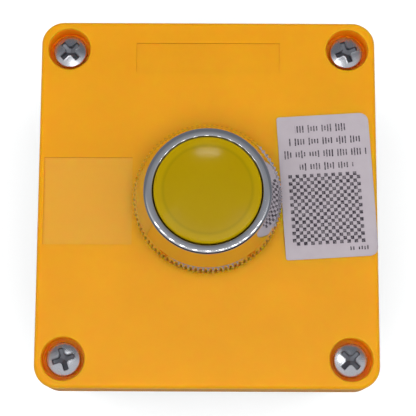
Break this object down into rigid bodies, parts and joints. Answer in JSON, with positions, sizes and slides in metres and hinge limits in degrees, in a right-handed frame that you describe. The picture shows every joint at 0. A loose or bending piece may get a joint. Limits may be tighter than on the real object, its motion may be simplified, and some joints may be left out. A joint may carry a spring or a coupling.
{
  "type": "pushbutton control station",
  "caption": "One-hole moulded control box with an illuminated momentary pushbutton, knurled chrome ring nut, contact blocks and a cable entry.",
  "frame": {"origin": "on the wall face, under the button's axis, which is the middle of the box", "axes": "+Z out of the lid along the button's axis, +Y along the box away from the cable entry, +X to the right seen from the front"},
  "size_m": [0.068, 0.0746, 0.0668],
  "materials": {
    "lid_plastic": "moulded, satin",
    "base_plastic": "moulded, satin",
    "seal_rubber": "moulded",
    "zinc_steel": "zinc plated",
    "paper": "printed label stock",
    "chrome_plate": "bright chrome plate",
    "lens_plastic": "translucent, polished",
    "white_plastic": "moulded",
    "black_plastic": "moulded",
    "spring_steel": "drawn wire",
    "block_plastic": "moulded",
    "cover_plastic": "moulded",
    "green_plastic": "moulded",
    "red_plastic": "moulded",
    "brass": "stamped",
    "lamp_glass": "blown"
  },
  "bodies": {
    "root": {"base_case": "base_plastic", "lid_cover": "lid_plastic", "lid_seal": "seal_rubber", "lid_screws": "zinc_steel", "paper_label": "paper", "ring_nut": "chrome_plate", "return_spring": "spring_steel", "barrel_housing": "black_plastic", "panel_gasket": "seal_rubber", "carrier_plate": "black_plastic", "carrier_screws": "zinc_steel", "no_block_case": "block_plastic", "no_block_cover": "cover_plastic", "no_spring": "spring_steel", "no_terminals": "brass", "no_clamp_plates": "zinc_steel", "no_terminal_screws": "zinc_steel", "nc_block_case": "block_plastic", "nc_block_cover": "cover_plastic", "nc_spring": "spring_steel", "nc_terminals": "brass", "nc_clamp_plates": "zinc_steel", "nc_terminal_screws": "zinc_steel", "lamp_block_case": "block_plastic", "lamp_socket": "brass", "lamp_contact": "brass", "lamp_cap": "brass", "lamp_glass": "lamp_glass", "lamp_terminals": "brass", "lamp_clamp_plates": "zinc_steel", "lamp_terminal_screws": "zinc_steel"},
    "button": {"lens_cap": "lens_plastic", "lens_diffuser": "white_plastic", "push_tube": "white_plastic", "tube_oring": "seal_rubber"},
    "no_pusher": {"no_stem": "green_plastic", "no_bridge": "brass"},
    "nc_pusher": {"nc_stem": "red_plastic", "nc_bridge": "brass"}
  },
  "joints": [
    {"name": "button_press", "type": "slide", "parent": "root", "child": "button", "axis": [0, 0, -1], "range_m": [0, 0.004], "stiffness_N_per_m": 800, "springref_m": -0.004, "deforming": ["return_spring"]},
    {"name": "no_press", "type": "slide", "parent": "root", "child": "no_pusher", "axis": [0, 0, -1], "range_m": [0, 0.004], "stiffness_N_per_m": 120, "springref_m": -0.002, "deforming": ["no_spring"]},
    {"name": "nc_press", "type": "slide", "parent": "root", "child": "nc_pusher", "axis": [0, 0, -1], "range_m": [0, 0.004], "stiffness_N_per_m": 120, "springref_m": -0.002, "deforming": ["nc_spring"]}
  ],
  "couplings": [
    {"joint": "no_press", "follows": "button_press", "ratio": 1},
    {"joint": "nc_press", "follows": "button_press", "ratio": 1}
  ]
}
